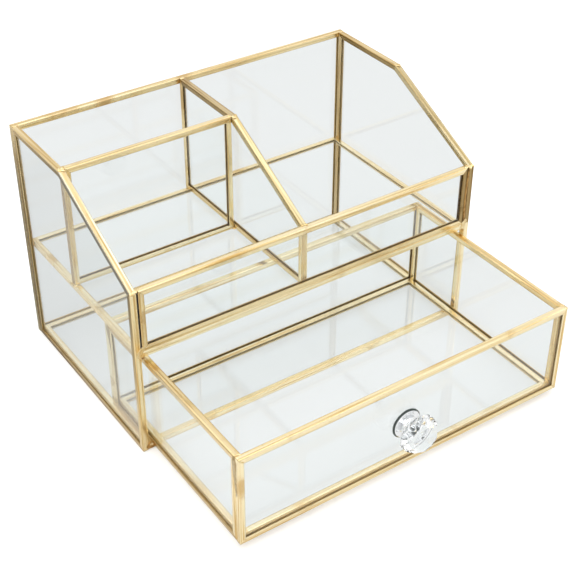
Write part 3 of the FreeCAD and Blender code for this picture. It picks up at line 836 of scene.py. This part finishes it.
def solder_case():
    """Solder where the case's strips meet: gold where it was polished with them, brown in the corners."""
    gold = Solder()
    brown = Solder()
    for side in (-1, 1):
        solder_side(gold, brown, side)
    brown.bead((SLIT_MIDDLE, 0, FLOOR_TOP + SLIT_GAP), (SLIT_MIDDLE, 0, LIP - SLIT_GAP), FORWARDS,
               SLIT_BEAD, seed=15)
    gold.corner_beads((-CASE_HALF, CASE_DEPTH, 0), (CASE_HALF, CASE_DEPTH, TOP), BACKWARDS)
    solder_dividers(gold)
    gold.finish("case_solder", "case", solder_metal("solder_gold", SOLDER_PALE, SOLDER_GOLD))
    brown.finish("case_solder_brown", "case", solder_metal("solder_brown", SOLDER_RUST, SOLDER_BROWN))


# Beads on the drawer: width and height, and the grey runs down its seams
RUN_BEAD = (0.0056, 0.0003)
RUN_TAPER = 0.75
RUN_GAP = 0.0003
RUN_LEAN = 0.0012
FRONT_RUN = 0.030
BACK_RUN = 0.018
CORNER_BEAD = (0.0014, 0.00025)


def solder_drawer():
    """Solder at the drawer's corners: thin at the mitres, with a grey run down each upright seam."""
    gold = Solder()
    grey = Solder()
    for side in (-1, 1):
        outer = side * DRAWER_HALF
        inner = side * (DRAWER_HALF - CAME)
        for seam, run in ((DRAWER_FRONT + CAME, FRONT_RUN), (DRAWER_BACK - CAME, BACK_RUN)):
            grey.bead((outer, seam, DRAWER_TOP - RUN_GAP), (outer, seam - RUN_LEAN, DRAWER_TOP - run),
                      side * RIGHTWARDS, RUN_BEAD, seed=1 + side, taper=RUN_TAPER)
            gold.bead((outer, seam, DRAWER_TOP), (inner, seam, DRAWER_TOP), UPWARDS, CORNER_BEAD,
                      seed=2 + side)
    for face, outward in ((DRAWER_FRONT, FORWARDS), (DRAWER_BACK, BACKWARDS)):
        gold.corner_beads((-DRAWER_HALF, face, DRAWER_LOW), (DRAWER_HALF, face, DRAWER_TOP), outward)
    gold.finish("drawer_solder", "drawer", bpy.data.materials["solder_gold"])
    grey.finish("drawer_solder_grey", "drawer", solder_metal("solder_grey", SOLDER_GREY, SOLDER_DULL))


# The studio: its light on matt surfaces, and its two dark places, each with its direction, spread and colour
STUDIO_WHITE = (1.0, 1.0, 1.0)
STUDIO_LIGHT = (0.55, 1.0)
LEFT_PATCH = (-0.80, 0.11, 0.57)
LEFT_PATCH_LIMITS = (0.88, 0.97)
LEFT_PATCH_COLOUR = (0.14, 0.12, 0.10)
PHOTOGRAPHER = (-0.46, -0.67, 0.58)
PHOTOGRAPHER_LIMITS = (0.91, 0.97)
PHOTOGRAPHER_COLOUR = (0.05, 0.06, 0.055)


def mirrored_ray(tree, paths):
    """1 for rays that a surface has mirrored, 0 for others, also for those that came through glass."""
    return calculate(tree, "SUBTRACT", paths.outputs["Is Glossy Ray"], paths.outputs["Is Transmission Ray"])


def towards(tree, direction, aim, limits):
    """1 for directions near an aim, 0 for others."""
    return spread(tree, measure(tree, "DOT_PRODUCT", direction, Vector(aim).normalized()), limits)


def make_world():
    """A white studio that is dark in two places: where the photographer stands, seen through glass only, and
    in a patch far to the left that is mirrored only."""
    world = bpy.data.worlds.new("studio")
    bpy.context.scene.world = world
    world.use_nodes = True
    tree = world.node_tree
    tree.nodes.clear()
    direction = add(tree, "TexCoord").outputs["Generated"]
    paths = add(tree, "LightPath")
    left = calculate(tree, "MULTIPLY", towards(tree, direction, LEFT_PATCH, LEFT_PATCH_LIMITS),
                     mirrored_ray(tree, paths))
    photographer = calculate(tree, "MULTIPLY", towards(tree, direction, PHOTOGRAPHER, PHOTOGRAPHER_LIMITS),
                             paths.outputs["Is Transmission Ray"])
    colour = blend_colours(tree, left, STUDIO_WHITE, LEFT_PATCH_COLOUR)
    colour = blend_colours(tree, photographer, colour, PHOTOGRAPHER_COLOUR)
    seen = calculate(tree, "MAXIMUM", paths.outputs["Is Camera Ray"], paths.outputs["Is Glossy Ray"])
    background = add(tree, "Background", None, Color=colour,
                     Strength=spread(tree, seen, NONE_TO_ALL, STUDIO_LIGHT))
    output = tree.nodes.new("ShaderNodeOutputWorld")
    tree.links.new(background.outputs["Background"], output.inputs["Surface"])


# The floor: its colours, how far it is lifted to white for the camera and in mirrors, and the painted shade
# on it that only mirrors show
FLOOR_COLOURS = ((0.80, 0.80, 0.80), (0.82, 0.82, 0.82))
FLOOR_MOTTLE = 3.0
FLOOR_HALF = 8.0
FLOOR_DROP = 0.0003
CAMERA_LIFT = (0.40, 1.0)
LIFT_DISTANCES = (1.2, 4.0)
MIRROR_LIFT = 0.10
THROUGH_SHARE = 0.78
THROUGH_COLOUR = (0.88, 0.90, 0.90)
MIRRORED_SHADE_PLACE = (-0.24, 0.24, 0.0)
MIRRORED_SHADE_DISTANCES = (0.10, 0.27)
MIRRORED_SHADE_SHARES = (0.75, 0.0)
MIRRORED_SHADE_COLOUR = (0.05, 0.05, 0.05)


def floor_white():
    """A pale floor that reads as white where nothing shades it. Seen through glass it is an even pale grey,
    and in mirrors it shows a painted dark shade behind the box and to its left."""
    material, tree, output = new_material("floor_white")
    place = place_of(tree)
    colour = blend_colours(tree, noise(tree, place, FLOOR_MOTTLE), *FLOOR_COLOURS)
    paths = add(tree, "LightPath")
    mirrored = mirrored_ray(tree, paths)
    # Painted shade that only mirrors show, behind the box and to its left
    near_mirrored_shade = spread(tree, measure(tree, "DISTANCE", place, MIRRORED_SHADE_PLACE), MIRRORED_SHADE_DISTANCES, MIRRORED_SHADE_SHARES)
    mirrored_shade = calculate(tree, "MULTIPLY", near_mirrored_shade, mirrored)
    colour = blend_colours(tree, mirrored_shade, colour, MIRRORED_SHADE_COLOUR)
    lift = spread(tree, measure(tree, "LENGTH", place), LIFT_DISTANCES, CAMERA_LIFT)
    level = calculate(tree, "ADD", calculate(tree, "MULTIPLY", paths.outputs["Is Camera Ray"], lift),
                      calculate(tree, "MULTIPLY", calculate(tree, "SUBTRACT", mirrored, mirrored_shade), MIRROR_LIFT))
    lit = tree.nodes.new("ShaderNodeAddShader")
    tree.links.new(add(tree, "BsdfDiffuse", None, Color=colour).outputs["BSDF"], lit.inputs[0])
    tree.links.new(add(tree, "Emission", None, Strength=level).outputs["Emission"], lit.inputs[1])
    even = add(tree, "Emission", None, Color=THROUGH_COLOUR, Strength=1.0).outputs["Emission"]
    through = calculate(tree, "MULTIPLY", paths.outputs["Is Transmission Ray"], THROUGH_SHARE)
    tree.links.new(mix_shaders(tree, through, lit.outputs["Shader"], even), output.inputs["Surface"])
    return material


def make_floor():
    """A large floor just below the box, which keeps its shadow."""
    mesh = bpy.data.meshes.new("floor")
    corners = [(x * FLOOR_HALF, y * FLOOR_HALF, 0) for x, y in ((-1, -1), (1, -1), (1, 1), (-1, 1))]
    mesh.from_pydata(corners, [], [(0, 1, 2, 3)])
    mesh.materials.append(floor_white())
    floor = bpy.data.objects.new("floor", mesh)
    floor.location.z = -FLOOR_DROP
    bpy.context.collection.objects.link(floor)


# Lamps: place, width in metres and power in watts. All face a point in the box.
LAMPS = {
    "top_softbox": ((-0.15, 0.15, 1.5), 1.8, 11.0),
    "left_softbox": ((-1.3, -0.5, 0.9), 0.9, 7.0),
    "right_softbox": ((1.3, -0.3, 0.9), 0.9, 5.0),
}
LAMP_AIM = Vector((0.0, 0.02, 0.08))


def make_lamps():
    for name, (place, width, power) in LAMPS.items():
        data = bpy.data.lights.new(name, "AREA")
        data.shape = "SQUARE"
        data.size = width
        data.energy = power
        lamp = bpy.data.objects.new(name, data)
        lamp.location = place
        lamp.rotation_euler = (LAMP_AIM - Vector(place)).to_track_quat("-Z", "Y").to_euler()
        bpy.context.collection.objects.link(lamp)


# Camera, fitted to the photograph's corner points: its place, its angles in degrees and its lens
CAMERA_PLACE = (-0.379423, -0.523605, 0.541214)
CAMERA_AZIMUTH = -34.443
CAMERA_ELEVATION = 35.839
CAMERA_ROLL = -0.176
FOCAL_PIXELS = 1244.167
PICTURE_PIXELS = 576
SENSOR_WIDTH = 36.0
NEAREST = 0.01
FARTHEST = 50.0


def make_camera():
    angles = (CAMERA_AZIMUTH, CAMERA_ELEVATION, CAMERA_ROLL)
    azimuth, elevation, roll = (math.radians(angle) for angle in angles)
    back = Vector((math.sin(azimuth) * math.cos(elevation), -math.cos(azimuth) * math.cos(elevation),
                   math.sin(elevation)))
    level = (-back).cross(UPWARDS).normalized()
    up = level.cross(-back)
    right = math.cos(roll) * level - math.sin(roll) * up
    top = math.sin(roll) * level + math.cos(roll) * up
    data = bpy.data.cameras.new("camera")
    data.sensor_width = SENSOR_WIDTH
    data.lens = FOCAL_PIXELS / PICTURE_PIXELS * SENSOR_WIDTH
    data.clip_start = NEAREST
    data.clip_end = FARTHEST
    camera = bpy.data.objects.new("camera", data)
    turned = Matrix((right, top, back)).transposed().to_4x4()
    camera.matrix_world = Matrix.Translation(CAMERA_PLACE) @ turned
    bpy.context.collection.objects.link(camera)
    bpy.context.scene.camera = camera


# How often light is followed through the many panes, through see-through surfaces and between mirrors
PANE_BOUNCES = 48
SEE_THROUGH_BOUNCES = 64
MIRROR_BOUNCES = 8


def set_scene():
    scene = bpy.context.scene
    scene.view_settings.view_transform = "Standard"
    scene.cycles.max_bounces = PANE_BOUNCES
    scene.cycles.transmission_bounces = PANE_BOUNCES
    scene.cycles.transparent_max_bounces = SEE_THROUGH_BOUNCES
    scene.cycles.glossy_bounces = MIRROR_BOUNCES


set_scene()
make_camera()
make_world()
make_floor()
make_lamps()
dress_nodes()
solder_case()
solder_drawer()
